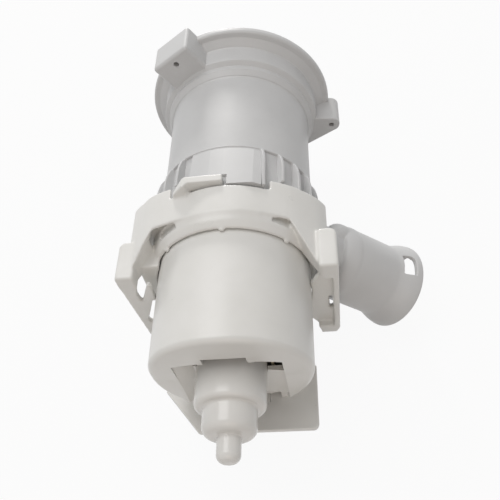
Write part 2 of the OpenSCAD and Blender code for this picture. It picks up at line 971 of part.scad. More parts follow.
// Springy catch that locks the ring on the housing: a straight bar whose root slopes down to the arch
module catch_finger() {
    finger_top = band_r + 1.8;
    root_w = 5.2;
    rise_w = 5.4;
    root_drop = 5.8;
    finger_w = 3.4;
    root_x = -notch_left + 1.6;
    difference() {
        intersection() {
            plan_prism(0, finger_top)
                polygon([
                    [root_x, notch_edge + over], [root_x, notch_edge - 0.6], [root_x + rise_w, finger_tip],
                    [0, finger_tip], [0, finger_tip + finger_w], [root_x + rise_w + 1.4, finger_tip + finger_w],
                    [root_x + root_w, notch_edge + over]
                ]);
            translate([0, 0, finger_tip - over])
                linear_extrude(band_front - finger_tip)
                    polygon([
                        [root_x - over, 0], [over, 0], [over, finger_top + over],
                        [root_x + rise_w - 1, finger_top + over], [root_x - over, finger_top - root_drop]
                    ]);
        }
        disc(volute_r + seat_gap, 0, joint);
    }
}

// One pad on the right, whose outer face is at a given distance
module pad(out) {
    plan_prism(pad_z - pad_drop, pad_z)
        polygon(concat(
            [[out - pad_w, leg_front], [out - pad_w, pad_start]],
            arc([out - pad_round, pad_start + pad_round], pad_round, -90, 0, 6),
            [[out, leg_front]]));
}

// Outline of a leg on the right, whose outer face is at a given distance, with its inner top corner
module leg_2d(out, taper, top) {
    foot_in = out - foot_w;
    difference() {
        polygon(concat(
            [for (p = top) [web_x + p[0], p[1] * pad_z]],
            [[out - pad_w + 0.5, pad_z - pad_drop + over], [out - pad_w + 0.5, pad_z - over],
             [out, pad_z - over], [out - taper, -leg_z + foot_cut], [out - taper - foot_cut / 2, -leg_z],
             [foot_in, -leg_z], [foot_in, -leg_z + foot_step],
             [foot_in - foot_flare, -leg_z + foot_rise]]));
        circle(r = cup_r + lip_gap);
    }
}

// Two slanted openings of the left leg, drawn for the right side, in shares of the pads' height
module leg_openings() {
    upper = [[0.31, 0.43], [0.286, 0.143], [0.033, 0.757], [0.062, 0.905], [0.25, 0.695]];
    lower = [[0.06, 0.224], [0.319, -0.452], [0.31, -0.571], [0, -0.524], [0, 0.19]];
    for (hole = [upper, lower])
        polygon([for (p = hole) [cup_r + p[0] * pad_z, p[1] * pad_z]]);
}

// Narrow slot of the right leg
module leg_slot() {
    translate([leg_x - slot_set, -slot_top - slot_len])
        square([slot_w, slot_len]);
}

// Left leg, drawn for the right side: a front plate with two openings
module left_leg() {
    top = [[0, 0.67], [1, 0.73], [4.5, 0.73]];
    translate([0, 0, leg_back])
        linear_extrude(band_t)
            difference() {
                leg_2d(leg_x + left_out, left_taper, top);
                leg_openings();
            }
}

// Web beside the cup that ties the left skirt to the ring, drawn for the right side
module left_web() {
    web_len = 6;
    web_set = 0.5;
    web_out = cup_r + 5.4;
    web_low = 0.4 * pad_z;
    web_top = 0.76 * pad_z;
    translate([cup_r - 3, -web_low, lip_start + web_set])
        cube([web_out - cup_r + 3, web_low + web_top, web_len]);
}

// Right leg: a plate set back between the rail and a raised toe
module right_leg() {
    top = [[0, -0.02], [3.5, 0.45]];
    translate([0, 0, leg_back - leg_recess])
        linear_extrude(band_t)
            difference() {
                leg_2d(leg_x, leg_taper, top);
                leg_slot();
            }
    translate([0, 0, leg_back - leg_recess])
        linear_extrude(band_t + leg_recess)
            intersection() {
                leg_2d(leg_x, leg_taper, top);
                translate([0, -leg_z])
                    square([leg_x, toe_h]);
            }
}

// Rail along the outer edge of the right leg
module leg_rail() {
    translate([0, 0, leg_front - rail_len])
        linear_extrude(rail_len)
            polygon([
                [leg_x - band_t, pad_z - over], [leg_x, pad_z - over], [leg_x - leg_taper, -leg_z + foot_cut],
                [leg_x - leg_taper - band_t, -leg_z + foot_cut]
            ]);
}

// Bracket: clamp ring, arch, two pads and two legs, one ivory moulding
module motor_bracket() {
    color(ivory)
        axial()
            union() {
                difference() {
                    union() {
                        clamp_ring();
                        arch();
                        skirt(1, kink_right, slant_x);
                        skirt(-1, kink_left, slant_left);
                        pad(leg_x);
                        right_leg();
                        leg_rail();
                        mirror([1, 0, 0]) {
                            pad(leg_x + left_out);
                            left_leg();
                            left_web();
                        }
                    }
                    disc(volute_r + seat_gap, 0, lip_start);
                    disc(cup_r + lip_gap, 0, leg_front + over);
                    on_outlet()
                        translate([0, 0, outlet_root - free_gap])
                            cylinder(r = neck_r + free_gap, h = outlet_reach);
                }
                centring_ribs();
                catch_finger();
            }
}

pump_housing();
can_o_ring();
rotor_can();
bearing_carrier();
lip_seal();
front_bearing();
rear_bearing();
bearing_cushion();
rotor_shaft();
rotor_magnet();
thrust_washers();
drive_dog();
dog_buffers();
impeller();
hub_cap();
stator_core();
coil_former_left();
coil_former_right();
coil_left();
coil_right();
motor_cup();
terminal_block();
terminal_blades();
motor_bracket();
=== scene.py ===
# Washing machine drain pump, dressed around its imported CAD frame.
# Pieces are drawn in millimetres along the pump axis and brought to the frame's metres when they are fixed.
import math
import bpy
from mathutils import Matrix, Vector


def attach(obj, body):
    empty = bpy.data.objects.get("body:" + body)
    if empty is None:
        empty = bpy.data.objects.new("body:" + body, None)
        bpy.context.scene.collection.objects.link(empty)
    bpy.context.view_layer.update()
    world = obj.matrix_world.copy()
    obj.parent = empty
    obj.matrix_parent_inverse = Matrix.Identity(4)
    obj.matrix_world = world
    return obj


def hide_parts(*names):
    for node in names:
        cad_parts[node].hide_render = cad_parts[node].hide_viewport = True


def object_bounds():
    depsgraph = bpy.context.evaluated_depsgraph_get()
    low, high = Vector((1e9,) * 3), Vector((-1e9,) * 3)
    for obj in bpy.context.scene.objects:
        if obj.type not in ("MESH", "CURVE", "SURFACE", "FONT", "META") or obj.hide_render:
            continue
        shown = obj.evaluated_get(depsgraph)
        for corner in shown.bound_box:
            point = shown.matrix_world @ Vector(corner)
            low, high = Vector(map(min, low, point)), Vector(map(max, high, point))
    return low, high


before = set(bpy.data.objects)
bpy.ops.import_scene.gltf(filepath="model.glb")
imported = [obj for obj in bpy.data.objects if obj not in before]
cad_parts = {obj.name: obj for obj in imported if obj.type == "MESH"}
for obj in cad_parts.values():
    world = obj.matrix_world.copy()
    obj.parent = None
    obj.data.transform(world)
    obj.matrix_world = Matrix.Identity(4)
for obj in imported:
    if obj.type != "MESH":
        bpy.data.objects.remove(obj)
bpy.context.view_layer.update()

# Pump housing: one moulding of pale grey polypropylene with the flanged mouth, the inlet tube and the
# volute. The sump's spigot goes into its mouth, and two self-tapping screws go into its bosses.
AXIS = Vector((0, -1, 0))
SIDE = Vector((1, 0, 0))
METRE = 1000  # in millimetres
WELD = 0.002  # points nearer than this, in millimetres, become one


def curve(centre, radius, start, end, count=8):
    """Points of an arc in a profile, with its angles in degrees."""
    turn_by = [math.radians(start + (end - start) * i / count) for i in range(count + 1)]
    return [(centre[0] + radius * math.cos(a), centre[1] + radius * math.sin(a)) for a in turn_by]


def oblong(left, right, low, high):
    """Corners of an oblong in a profile, plan or outline."""
    return [(left, low), (right, low), (right, high), (left, high)]


def about_axis(angle):
    """A turn about the pump axis, in degrees."""
    return Matrix.Rotation(math.radians(angle), 4, "Y")


def trace(name, points):
    """Pulls one vertex along a row of points and leaves the line selected in edit mode."""
    if bpy.context.mode != "OBJECT":
        bpy.ops.object.mode_set(mode="OBJECT")
    bpy.ops.object.select_all(action="DESELECT")
    bpy.ops.mesh.primitive_plane_add(size=1, enter_editmode=True)
    line = bpy.context.object
    line.name = name
    bpy.ops.mesh.merge(type="CENTER")
    bpy.ops.transform.translate(value=points[0])
    for here, there in zip(points, points[1:]):
        step = [b - a for a, b in zip(here, there)]
        bpy.ops.mesh.extrude_vertices_move(TRANSFORM_OT_translate={"value": step})
    bpy.ops.mesh.select_all(action="SELECT")
    return line


def close_up():
    """Merges the doubles of the edited mesh, turns its faces outwards and leaves edit mode."""
    bpy.ops.mesh.select_all(action="SELECT")
    bpy.ops.mesh.remove_doubles(threshold=WELD)
    bpy.ops.mesh.normals_make_consistent(inside=False)
    bpy.ops.object.mode_set(mode="OBJECT")


def turned(name, profile, steps=192, origin=Vector((0, 0, 0)), along=AXIS, side=SIDE):
    """Turns a closed profile of radius and length about an axis, as on a lathe."""
    points = [origin + side * r + along * s for r, s in profile + profile[:1]]
    piece = trace(name, points)
    bpy.ops.mesh.spin(steps=steps, angle=math.tau, center=origin, axis=along)
    close_up()
    return piece


def plate(name, outline, pull):
    """Fills a closed outline and pulls it out to a solid plate."""
    piece = trace(name, [Vector(p) for p in outline] + [Vector(outline[0])])
    bpy.ops.mesh.remove_doubles(threshold=WELD)
    bpy.ops.mesh.edge_face_add()
    bpy.ops.mesh.extrude_region_move(TRANSFORM_OT_translate={"value": pull})
    close_up()
    return piece


def across(name, outline, start, end):
    """A plate whose outline lies across the pump axis, from one depth to another."""
    return plate(name, [(x, -start, z) for x, z in outline], (0, start - end, 0))


def upright(name, plan, low, high):
    """A plate whose outline is drawn in plan, as width and depth, from one height to another."""
    return plate(name, [(x, -d, low) for x, d in plan], (0, 0, high - low))


def take(*pieces):
    """Selects some pieces and nothing else, and makes the first one active."""
    bpy.ops.object.select_all(action="DESELECT")
    for piece in pieces:
        piece.select_set(True)
    bpy.context.view_layer.objects.active = pieces[0]


def apply_all(piece):
    """Applies a piece's modifiers in their order."""
    take(piece)
    for step in list(piece.modifiers):
        bpy.ops.object.modifier_apply(modifier=step.name)


def combine(piece, tool, how):
    """Joins a tool body to a piece or cuts it out, and clears the tool away."""
    step = piece.modifiers.new(how.lower(), "BOOLEAN")
    step.operation = how
    step.solver = "EXACT"
    step.object = tool
    apply_all(piece)
    bpy.data.objects.remove(tool)


def round_edges(piece, width, segments=3, angle=40):
    """Rounds the sharp edges of a piece."""
    step = piece.modifiers.new("rounding", "BEVEL")
    step.width = width
    step.segments = segments
    step.limit_method = "ANGLE"
    step.angle_limit = math.radians(angle)
    apply_all(piece)


def linear(code):
    """Turns an sRGB hex colour into the linear colour that a socket takes."""
    parts = [int(code[i:i + 2], 16) / 255 for i in (1, 3, 5)]
    return [p / 12.92 if p <= 0.04045 else ((p + 0.055) / 1.055) ** 2.4 for p in parts] + [1]


def node(tree, kind, settings=(), links=()):
    """Adds a node to a material, sets its values and links its inputs."""
    made = tree.nodes.new(kind)
    for key, value in dict(settings).items():
        if key in made.inputs:
            made.inputs[key].default_value = value
        else:
            setattr(made, key, value)
    for key, source in dict(links).items():
        tree.links.new(source, made.inputs[key])
    return made


def tinted(tree, value, deep, pale, start=0.3, end=0.7):
    """Turns a pattern into a blend of two colours."""
    ramp = node(tree, "ShaderNodeValToRGB", (), {"Fac": value})
    for stop, place, code in zip(ramp.color_ramp.elements, (start, end), (deep, pale)):
        stop.position = place
        stop.color = linear(code)
    return ramp.outputs["Color"]


def material(name, **constants):
    """Starts a material with its constants, and gives its tree, its shader and the place on a piece."""
    made = bpy.data.materials.new(name)
    made.use_nodes = True
    shader = made.node_tree.nodes["Principled BSDF"]
    for key, value in constants.items():
        shader.inputs[key.replace("_", " ")].default_value = value
    place = node(made.node_tree, "ShaderNodeTexCoord").outputs["Object"]
    return made, made.node_tree, shader, place


def moulded(name, pale, deep, rough, sheen_step, cloud_mm, grain_mm, bump, ior=1.49):
    """A moulded plastic: faint clouds in its colour and gloss over a fine eroded tool grain."""
    made, tree, shader, place = material(name, IOR=ior)
    cloud = node(tree, "ShaderNodeTexNoise", {"Scale": METRE / cloud_mm, "Detail": 3.0, "Roughness": 0.6},
                 {"Vector": place}).outputs["Fac"]
    gloss = node(tree, "ShaderNodeMapRange", {"From Min": 0.3, "From Max": 0.7, "To Min": rough - sheen_step,
                 "To Max": rough + sheen_step}, {"Value": cloud})
    grain = node(tree, "ShaderNodeTexNoise", {"Scale": METRE / grain_mm, "Detail": 2.0}, {"Vector": place})
    relief = node(tree, "ShaderNodeBump", {"Strength": bump, "Distance": 0.06 / METRE},
                  {"Height": grain.outputs["Fac"]})
    tree.links.new(tinted(tree, cloud, deep, pale), shader.inputs["Base Color"])
    tree.links.new(gloss.outputs["Result"], shader.inputs["Roughness"])
    tree.links.new(relief.outputs["Normal"], shader.inputs["Normal"])
    return made


def fix(piece, finish, node_name, body="pump_body", angle=32):
    """Brings a finished piece to metres, gives it its material and fixes it to its body."""
    take(piece)
    piece.scale = [1 / METRE] * 3
    bpy.ops.object.transform_apply(location=False, rotation=False, scale=True)
    bpy.ops.object.shade_smooth_by_angle(angle=math.radians(angle))
    even = piece.modifiers.new("even_shading", "WEIGHTED_NORMAL")
    even.keep_sharp = True
    apply_all(piece)
    piece.data.materials.clear()
    piece.data.materials.append(finish)
    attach(piece, body)
    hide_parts(node_name)


# The grey plastic is talc-filled polypropylene: nearly white, with a satin skin from the tool.
housing_plastic = moulded("grey_polypropylene_moulded", "#CECECE", "#C9C9C9", rough=0.42, sheen_step=0.05,
                          cloud_mm=14, grain_mm=0.7, bump=0.10)

tube_r, bore_r, joint = 32.7, 30.1, 103.6
rim_r, rim_round, collar_r, step_r = 43.9, 1.3, 37.3, 35.0
inlet_profile = (
    [(30.8, 0), (rim_r - rim_round, 0)] + curve((rim_r - rim_round, 1.3), rim_round, -90, 0)
    + curve((rim_r - rim_round, 2.5), rim_round, 0, 84) + [(41.2, 4.0), (40.9, 4.15), (38.2, 6.1)]
    + curve((38.2, 7.0), 0.9, -115, -180, 5) + curve((collar_r - 0.9, 14.8), 0.9, 0, 60, 6)
    + [(35.5, 16.5)] + curve((35.6, 17.1), 0.6, -100, -180, 6) + curve((step_r - 0.6, 18.5), 0.6, 0, 60, 6)
    + [(33.3, 21.2)] + curve((35.2, 22.6), 2.5, 216, 180, 6)
    + [(tube_r, 44), (tube_r, 79), (33.4, 79.8), (33.4, 96)] + curve((32.9, joint - 0.5), 0.5, 0, 90, 6)
    + [(31.85, joint), (31.85, 101.8), (30.05, 101.8), (30.05, joint), (28.5, joint), (28.5, 81.2)]
    + [(18.0, 81.2)] + curve((18.1, 80.1), 1.1, 90, 270, 12) + [(29.2, 79)] + curve((29.2, 78.1), 0.9, 90, 0)
    + [(bore_r, 40), (bore_r, 0.7)])
housing = turned("pump_housing_moulding", inlet_profile, 240)

# Block boss at the upper left, with well rounded edges.
screw_r, boss_root, boss_end, pilot_r, pilot_mouth_r = 45.0, 31.6, 16.0, 1.2, 1.6
block_turn = about_axis(-122)
block = across("block_boss", oblong(boss_root, 49.4, -9.85, 10.8), 0, boss_end)
round_edges(block, width=1.6, segments=5)
block.data.transform(block_turn)
combine(housing, block, "UNION")

# Ear boss at the right, rounded about its hole, with a web down to the collar.
ear_turn, ear_r = about_axis(8.7), 4.1
ear_outline = ([(boss_root, ear_r)] + curve((screw_r, 0), ear_r, 90, -62, 16)
               + [(34.2, -13.7), (boss_root, -10)])
ear = across("ear_boss", ear_outline, 0, boss_end)
round_edges(ear, width=0.8, segments=3, angle=50)
ear.data.transform(ear_turn)
combine(housing, ear, "UNION")

# Pilot holes through both bosses.
drill_profile = [(0, -1), (pilot_r, -1), (pilot_r, boss_end - 0.4), (pilot_mouth_r, boss_end + 0.2),
                 (pilot_mouth_r, boss_end + 2), (0, boss_end + 2)]
for boss_turn in (block_turn, ear_turn):
    drill = turned("pilot_drill", drill_profile, 32, Vector((screw_r, 0, 0)))
    drill.data.transform(boss_turn)
    combine(housing, drill, "DIFFERENCE")

# Throat of the outlet through the volute's wall.
outlet_fall, outlet_rise, outlet_depth = math.radians(41), 14.4, 92.4
throat_r, neck_bore, bell_bore, flare_start, flare_len = 10, 13.4, 16.7, 63, 9
outlet_dir = Vector((math.cos(outlet_fall), 0, -math.sin(outlet_fall)))
outlet_up = Vector((-outlet_dir.z, 0, outlet_dir.x))
outlet_from = outlet_up * outlet_rise + AXIS * outlet_depth
bore_flare = [(neck_bore + (bell_bore - neck_bore) * (1 - math.cos(math.radians(a))) / 2,
               flare_start + flare_len * a / 180) for a in range(180, -1, -15)]
bore_profile = ([(0, 80), (bell_bore, 80)] + bore_flare
                + [(neck_bore, 40), (throat_r, 35), (throat_r, 0), (0, 0)])
throat = turned("throat_bore", bore_profile, 144, outlet_from, outlet_dir, outlet_up)
combine(housing, throat, "DIFFERENCE")
fix(housing, housing_plastic, "pump_housing", angle=24)

# Rib crown of the same moulding: a thin bead round the tube, fins that swell out behind it, and a panel of
# four flats on top. The bracket's notch and catch finger reach in between them.
crown_start, crown_end, finger_room, crown_r, crown_root = 66.2, 88.9, 83.7, 36.5, 31.5
bead_r, bead_mid, fin_start, fin_foot, fin_t, swell_len = 0.55, 33.3, crown_start + 0.7, 33.0, 1.3, 11.4
first_fin, last_fin, fin_steps = 26.0, 326.5, 22


def from_top(radius, angle):
    """A point across the pump axis, at an angle in degrees from the top."""
    return (radius * math.sin(math.radians(angle)), radius * math.cos(math.radians(angle)))


def join(parts):
    """Joins several objects to the first one."""
    take(*parts)
    bpy.ops.object.join()
    return parts[0]


def soften(piece, voxel, passes, keep):
    """Runs overlapping bodies into one skin and rounds its edges, as a moulding tool leaves them."""
    skin = piece.modifiers.new("skin", "REMESH")
    skin.mode = "VOXEL"
    skin.voxel_size = voxel
    ease = piece.modifiers.new("ease", "SMOOTH")
    ease.factor = 0.5
    ease.iterations = passes
    thin = piece.modifiers.new("thin", "DECIMATE")
    thin.ratio = keep
    apply_all(piece)


bead_profile = ([(crown_root, crown_start)] + curve((bead_mid, crown_start + bead_r), bead_r, -90, 90)
                + [(crown_root, crown_start + 2 * bead_r)])
crown = [turned("rib_crown_moulding", bead_profile)]
swell = [(fin_foot + (crown_r - fin_foot) * math.sin(math.radians(a)),
          fin_start + swell_len * (1 - math.cos(math.radians(a)))) for a in range(0, 91, 9)]
for i in range(fin_steps + 1):
    fin_angle = first_fin + (last_fin - first_fin) * i / fin_steps
    fin_end = crown_end if i == 0 else finger_room
    fin_outline = [(crown_root, fin_start)] + swell + [(crown_r, fin_end), (crown_root, fin_end)]
    fin = plate("crown_fin", [(r, -s, -fin_t / 2) for r, s in fin_outline], (0, 0, fin_t))
    fin.data.transform(about_axis(fin_angle - 90))
    crown.append(fin)

panel_foot, flat_steps = 33.45, 8
panel_corners = [(-14.2, 33.2), (-6.2, 35.0), (-0.5, 35.3), (11.6, 34.75), (14.9, 33.0)]
panel_top = [(a[0] + (b[0] - a[0]) * i / flat_steps, a[1] + (b[1] - a[1]) * i / flat_steps)
             for a, b in zip(panel_corners, panel_corners[1:]) for i in range(flat_steps)]
panel_top.append(panel_corners[-1])
panel_low = [from_top(crown_root, a) for a in range(28, -28, -4)]
panel = across("crown_panel_moulding", panel_top + panel_low, crown_end, crown_start + 0.9)
for vertex in panel.data.vertices:
    if vertex.co.y > -crown_start - 2 and vertex.co.xz.length > crown_root + 1:
        vertex.co.z = math.sqrt(panel_foot ** 2 - vertex.co.x ** 2)
catch_room = across("catch_room", oblong(-40, 1.4, 20, 40), finger_room, crown_end + 2)
combine(panel, catch_room, "DIFFERENCE")
fix(panel, housing_plastic, "pump_housing", angle=1.6)
crown = join(crown)
soften(crown, voxel=0.24, passes=3, keep=0.5)
fix(crown, housing_plastic, "pump_housing", angle=60)

# Outlet of the same moulding: a throat out of the volute with a rounded lobe beside it, a shoulder, a neck
# and a flared bell. The drain hose's end piece goes into the bell, and its catch sits in the window.
throat_out, neck_r, bell_r, outlet_end = 12.8, 16.2, 19.1, 77.0
shoulder = [(throat_out + (neck_r + 0.2 - throat_out) * math.sin(math.radians(a)),
             37 + 6 * (1 - math.cos(math.radians(a)))) for a in range(0, 91, 9)]
flare = [(neck_r, 65.3), (16.4, 66.5), (16.95, 68.3), (17.7, 70.3), (18.35, 72.0), (18.8, 73.8),
         (19.05, 75.2)]
outside = ([(0, 16), (throat_out, 16)] + shoulder + [(neck_r + 0.2, 43.6), (neck_r, 44.6)] + flare
           + curve((bell_r - 1, outlet_end - 1), 1, 0, 90) + [(17.3, outlet_end)]
           + curve((17.3, outlet_end - 0.6), 0.6, 90, 180, 3))
pipe = turned("outlet_moulding", outside + [(0, outlet_end - 0.6)], 144, outlet_from, outlet_dir, outlet_up)
lobe_from = outlet_from + outlet_up * 8.2 + Vector((0, 6, 0))
lobe = turned("outlet_lobe", curve((0, 37), 6, -90, 0) + curve((0, 42), 6, 0, 90), 64, lobe_from, outlet_dir,
              outlet_up)
combine(pipe, lobe, "UNION")
for name, radius, start, end in (("band_room", 36, joint, 130), ("chamber_room", 29.5, 60, 130)):
    combine(pipe, turned(name, oblong(0, radius, start, end), 96), "DIFFERENCE")
outlet_bore = turned("outlet_bore", bore_profile, 144, outlet_from, outlet_dir, outlet_up)
combine(pipe, outlet_bore, "DIFFERENCE")

# Catch window on top of the bell: straight at the back, with one well rounded corner.
window_back, window_front, window_near, window_far = 67.8, 73.4, -5.2, 4.2
window_outline = ([(window_back, window_near), (window_back, window_far)]
                  + curve((window_front - 2.5, window_far - 2.5), 2.5, 90, 0) + [(window_front, window_near)])
window = plate("bell_window", [outlet_from + outlet_dir * s + Vector((0, w, 0)) + outlet_up * 22
                               for s, w in window_outline], outlet_up * -11)
combine(pipe, window, "DIFFERENCE")
soften(pipe, voxel=0.3, passes=4, keep=0.45)
fix(pipe, housing_plastic, "pump_housing", angle=60)

# O-ring, lip seal, rear bearing's cushion and the dog's two buffers: moulded nitrile rubber. They are
# pressed into their seats dry, so the rubber stays matt black with the bloom that new rubber has.
rubber, tree, shader, place = material("nitrile_rubber_moulded", IOR=1.52, Roughness=0.72)
bloom = node(tree, "ShaderNodeTexNoise", {"Scale": METRE / 3.0, "Detail": 4.0}, {"Vector": place})
skin = node(tree, "ShaderNodeTexNoise", {"Scale": METRE / 0.3}, {"Vector": place})
relief = node(tree, "ShaderNodeBump", {"Strength": 0.15, "Distance": 0.05 / METRE},
              {"Height": skin.outputs["Fac"]})
tree.links.new(tinted(tree, bloom.outputs["Fac"], "#202021", "#2E2E2F"), shader.inputs["Base Color"])
tree.links.new(relief.outputs["Normal"], shader.inputs["Normal"])


def dress(finish, *node_names):
    """Gives CAD nodes, whose shapes are right as they are, their material."""
    for node_name in node_names:
        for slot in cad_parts[node_name].material_slots:
            slot.material = finish


dress(rubber, "can_o_ring", "lip_seal", "bearing_cushion", "dog_buffers")

# Front and rear bearing: sintered bronze bushes, pressed from powder and soaked in oil. Their pores are
# 0.05 mm wide and are drawn 0.4 mm apart, so that the dull speckle shows.
bronze, tree, shader, place = material("sintered_bronze_oiled", Metallic=1.0, Roughness=0.42)
pores = node(tree, "ShaderNodeTexVoronoi", {"Scale": METRE / 0.4}, {"Vector": place})
speckle = tinted(tree, pores.outputs["Distance"], "#8A7D66", "#A89C85", 0.1, 0.5)
tree.links.new(speckle, shader.inputs["Base Color"])
dress(bronze, "front_bearing", "rear_bearing")

# Rotor shaft: a ground steel pin that runs in both bushes. Grinding leaves fine rings round it, 0.05 mm
# apart, which are drawn 0.3 mm apart.
ground_steel, tree, shader, place = material("ground_steel", Metallic=1.0)
shader.inputs["Base Color"].default_value = linear("#C6C8CB")
rings = node(tree, "ShaderNodeMapping", {"Scale": (60, METRE / 0.3, 60)}, {"Vector": place})
lines = node(tree, "ShaderNodeTexNoise", {"Scale": 1.0, "Detail": 2.0}, {"Vector": rings.outputs["Vector"]})
gloss = node(tree, "ShaderNodeMapRange", {"To Min": 0.14, "To Max": 0.34}, {"Value": lines.outputs["Fac"]})
tree.links.new(gloss.outputs["Result"], shader.inputs["Roughness"])
dress(ground_steel, "rotor_shaft")

# Rotor magnet: a ring of pressed and fired ferrite, glued on the shaft. It is a dark, dry ceramic with a
# faint brown cast and small pits.
ferrite, tree, shader, place = material("fired_ferrite", IOR=1.9, Roughness=0.58)
pits = node(tree, "ShaderNodeTexVoronoi", {"Scale": METRE / 0.8}, {"Vector": place})
relief = node(tree, "ShaderNodeBump", {"Strength": 0.2, "Distance": 0.08 / METRE},
              {"Height": pits.outputs["Distance"]})
ceramic = tinted(tree, pits.outputs["Distance"], "#2C2B2B", "#434244", 0.05, 0.5)
tree.links.new(ceramic, shader.inputs["Base Color"])
tree.links.new(relief.outputs["Normal"], shader.inputs["Normal"])
dress(ferrite, "rotor_magnet")

# Thrust washers: two rings punched from brown phenolic sheet, loose on the shaft at both ends of the magnet.
# The sheet is dull, with the mottle of the cloth pressed into it.
phenolic = moulded("phenolic_sheet_punched", "#9C8559", "#856F46", rough=0.5, sheen_step=0.06,
                   cloud_mm=2.5, grain_mm=0.4, bump=0.2, ior=1.6)
dress(phenolic, "thrust_washers")

# Drive dog, impeller and hub cap: moulded acetal, smooth and a little waxy. The dog is pressed on the shaft,
# the impeller turns loosely on it, and the cap snaps over the hub.
acetal = moulded("natural_acetal_moulded", "#D6D5CE", "#CDCBC2", rough=0.3, sheen_step=0.05,
                 cloud_mm=10, grain_mm=0.6, bump=0.06, ior=1.48)
dress(acetal, "drive_dog")


def solid_copy(name, node_name):
    """Copies a CAD node's mesh to a new piece in millimetres and merges its loose triangles."""
    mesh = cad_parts[node_name].data.copy()
    mesh.transform(Matrix.Scale(METRE, 4))
    piece = bpy.data.objects.new(name, mesh)
    bpy.context.collection.objects.link(piece)
    take(piece)
    bpy.ops.object.mode_set(mode="EDIT")
    bpy.ops.mesh.select_all(action="SELECT")
    bpy.ops.mesh.remove_doubles(threshold=WELD)
    bpy.ops.object.mode_set(mode="OBJECT")
    return piece


wheel = solid_copy("impeller_moulding", "impeller")
soften(wheel, voxel=0.22, passes=3, keep=0.4)
fix(wheel, acetal, "impeller", body="impeller", angle=60)
cap = solid_copy("hub_cap_moulding", "hub_cap")
soften(cap, voxel=0.16, passes=3, keep=0.4)
fix(cap, acetal, "hub_cap", body="impeller", angle=60)

# Rotor can: an ivory cup of glass-filled polyester, closed at the rear by a stepped nose with a pin.
# Its front plate is clamped against the housing with the O-ring between them.
polyester_ior = 1.54

# The polyester is a warm white. It has a soft gloss from the tool, and a sharper one on the polished can.
ivory_plastic = moulded("ivory_polyester_moulded", "#E4E3E0", "#DFDEDA", rough=0.32, sheen_step=0.05,
                        cloud_mm=20, grain_mm=0.8, bump=0.06, ior=polyester_ior)
polished_ivory = moulded("ivory_polyester_polished", "#E4E3E0", "#DEDCD8", rough=0.2, sheen_step=0.04,
                         cloud_mm=20, grain_mm=0.8, bump=0.03, ior=polyester_ior)
can_profile = (
    [(0, 173.4), (6.75, 173.4), (6.75, 164), (11.86, 164), (11.86, 104.6), (14.61, 104.6), (14.61, 99.2),
     (16.61, 99.2), (16.61, joint), (33.25, joint), (33.25, 105.6), (13.26, 105.6)]
    + curve((11.4, 164.7), 1.86, 0, 90, 12) + [(10.9, 166.56)] + curve((10.9, 167.46), 0.9, -90, -180)
    + curve((6.7, 173.3), 3.3, 0, 90, 16) + [(5.0, 176.6)] + curve((5.0, 177.2), 0.6, -90, -180)
    + curve((1.4, 182.8), 3.0, 0, 90, 16) + [(0, 185.8)])
can = turned("rotor_can_moulding", can_profile, 192)
fix(can, polished_ivory, "rotor_can", angle=28)

# Bearing carrier: a disc of the same ivory polyester behind the impeller. It is pressed into the can's mouth
# and holds the front bearing and the lip seal.
dress(ivory_plastic, "bearing_carrier")

# Stator core: a stack of varnished steel sheets, riveted together. The sheets are 0.5 mm thick and are
# drawn 1 mm thick, so that the stack's layers show.
wave_unit = math.tau / 20  # the length after which a wave pattern of scale 1 repeats
sheet_mm = 1.0
laminated, tree, shader, place = material("varnished_lamination_steel", Metallic=0.35, Roughness=0.5)
layers = node(tree, "ShaderNodeTexWave", {"Scale": METRE / sheet_mm * wave_unit, "Distortion": 0.3,
              "bands_direction": "Y"}, {"Vector": place})
relief = node(tree, "ShaderNodeBump", {"Strength": 0.4, "Distance": 0.2 / METRE},
              {"Height": layers.outputs["Fac"]})
tree.links.new(tinted(tree, layers.outputs["Fac"], "#3A3A36", "#5A5952"), shader.inputs["Base Color"])
tree.links.new(relief.outputs["Normal"], shader.inputs["Normal"])
dress(laminated, "stator_core")

# Coils: two windings on cream formers of glass-filled polyester, slid on the core's legs. Each winding is
# wrapped in slate polyester tape, whose turns overlap every 4 mm.
former_plastic = moulded("cream_polyester_moulded", "#DAD2BA", "#D0C7AD", rough=0.4, sheen_step=0.05,
                         cloud_mm=8, grain_mm=0.6, bump=0.1, ior=polyester_ior)
tape_mm = 4.0
tape, tree, shader, place = material("slate_polyester_tape", IOR=1.6, Roughness=0.36)
turns = node(tree, "ShaderNodeTexWave", {"Scale": METRE / tape_mm * wave_unit, "Distortion": 0.6,
             "wave_profile": "SAW", "bands_direction": "Z"}, {"Vector": place})
relief = node(tree, "ShaderNodeBump", {"Strength": 0.5, "Distance": 0.2 / METRE},
              {"Height": turns.outputs["Fac"]})
wrap = tinted(tree, turns.outputs["Fac"], "#4B4C48", "#5C5D5A", 0.0, 1.0)
tree.links.new(wrap, shader.inputs["Base Color"])
tree.links.new(relief.outputs["Normal"], shader.inputs["Normal"])
for hand in ("left", "right"):
    winding = solid_copy("coil_" + hand + "_wrapped", "coil_" + hand)
    soften(winding, voxel=0.5, passes=16, keep=0.5)
    fix(winding, tape, "coil_" + hand, angle=60)
    former = solid_copy("coil_former_" + hand + "_moulding", "coil_former_" + hand)
    soften(former, voxel=0.2, passes=2, keep=0.4)
    fix(former, former_plastic, "coil_former_" + hand, angle=60)

# Motor cup: a soft-gloss ivory shell over the stator, crowned at its closed end, which leans out a little at
# the top and has a window. Its base plate is moulded on below and carries the terminals.
cup_r, cup_in, cup_front, cup_lean, lean_from = 31.0, 29.0, 105.6, 3.0, 140
base_low, base_top, guard_low = -32.8, -30.4, -20
corner_r, corner_turn, bow_r, lip_edge = 2.8, 80, 60, 0.3


def mirrored(points, sign=-1):
    """The points of an outline on the left side, or with a sign of 1 as they are."""
    return [(sign * x, other) for x, other in points]


